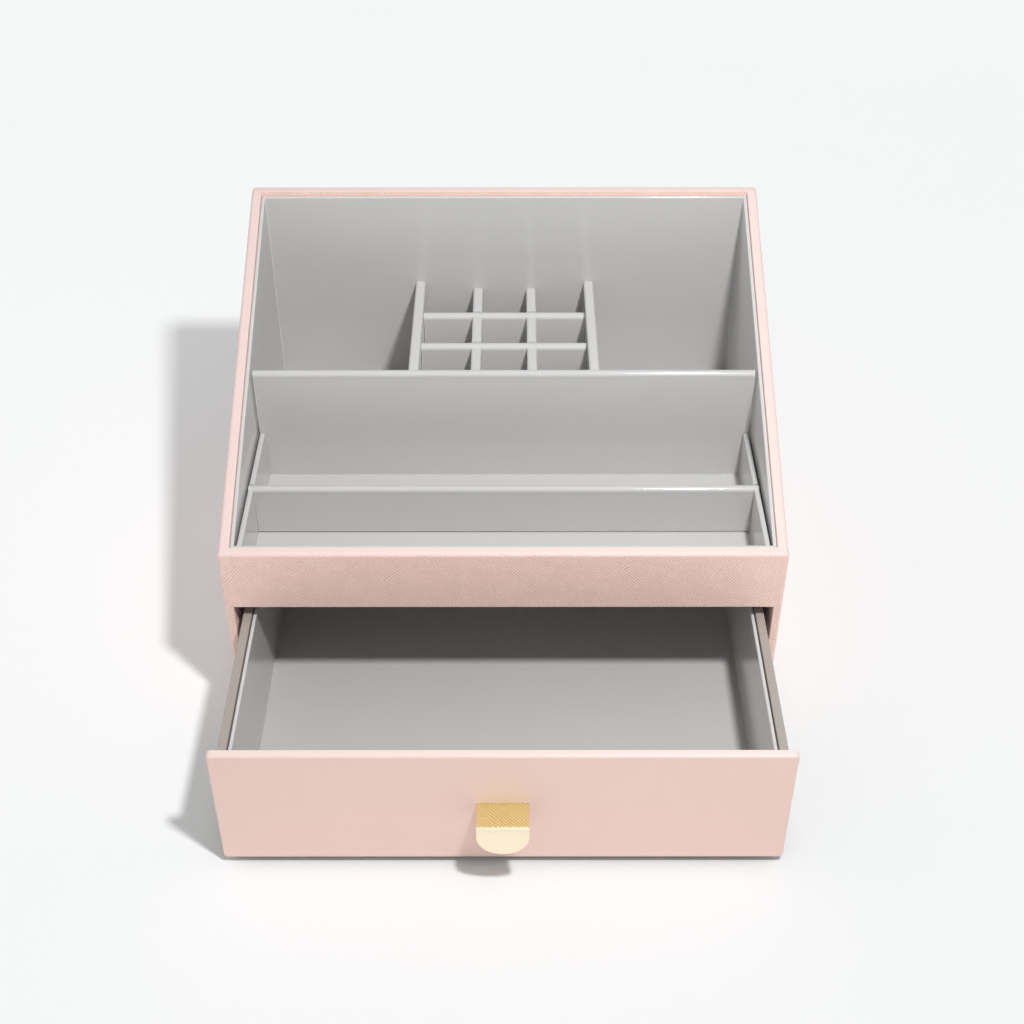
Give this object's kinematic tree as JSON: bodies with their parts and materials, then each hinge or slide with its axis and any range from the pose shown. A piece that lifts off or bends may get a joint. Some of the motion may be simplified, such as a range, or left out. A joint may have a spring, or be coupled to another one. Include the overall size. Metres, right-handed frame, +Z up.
{
  "type": "brush holder with drawer",
  "caption": "Leatherette vanity box with a tall back, sloping sides, a lined brush grid and trays above, and a sliding drawer with a metal pull tab below.",
  "frame": {"origin": "centre of the case's footprint, on the surface that it stands on", "axes": "+Z up, -Y the way the drawer opens, +X to the right seen from the front"},
  "size_m": [0.25, 0.2769, 0.1844],
  "materials": {
    "blush_leatherette": "cross-grained blush leatherette over board, satin",
    "grey_lining": "light grey glossy lining",
    "taupe_board": "taupe paper over board, matt",
    "dark_bay_lining": "dark paper over board, matt",
    "gold_metal": "polished pale gold plating",
    "base_felt": "short grey felt"
  },
  "bodies": {
    "case": {"back_panel": "blush_leatherette", "base_board": "dark_bay_lining", "base_felt": "base_felt", "bay_deck": "dark_bay_lining", "bay_guide_left": "dark_bay_lining", "bay_guide_right": "dark_bay_lining", "brush_crossbar_front": "grey_lining", "brush_crossbar_rear": "grey_lining", "brush_divider_left": "grey_lining", "brush_divider_right": "grey_lining", "brush_wall_left": "grey_lining", "brush_wall_right": "grey_lining", "front_band": "blush_leatherette", "liner_back": "grey_lining", "liner_floor": "grey_lining", "liner_front": "grey_lining", "liner_left": "grey_lining", "liner_right": "grey_lining", "low_divider": "grey_lining", "side_panel_left": "blush_leatherette", "side_panel_right": "blush_leatherette", "tall_divider": "grey_lining", "tray_side_left": "grey_lining", "tray_side_right": "grey_lining"},
    "drawer": {"drawer_back": "taupe_board", "drawer_bottom": "taupe_board", "drawer_front": "blush_leatherette", "drawer_liner_back": "grey_lining", "drawer_liner_floor": "grey_lining", "drawer_liner_front": "grey_lining", "drawer_liner_left": "grey_lining", "drawer_liner_right": "grey_lining", "drawer_side_left": "taupe_board", "drawer_side_right": "taupe_board", "pull_tab": "gold_metal", "pull_tab_rivets": "gold_metal"}
  },
  "joints": [
    {"name": "drawer_slide", "type": "slide", "parent": "case", "child": "drawer", "axis": [0, -1, 0], "range_m": [-0.0835, 0.057]}
  ]
}
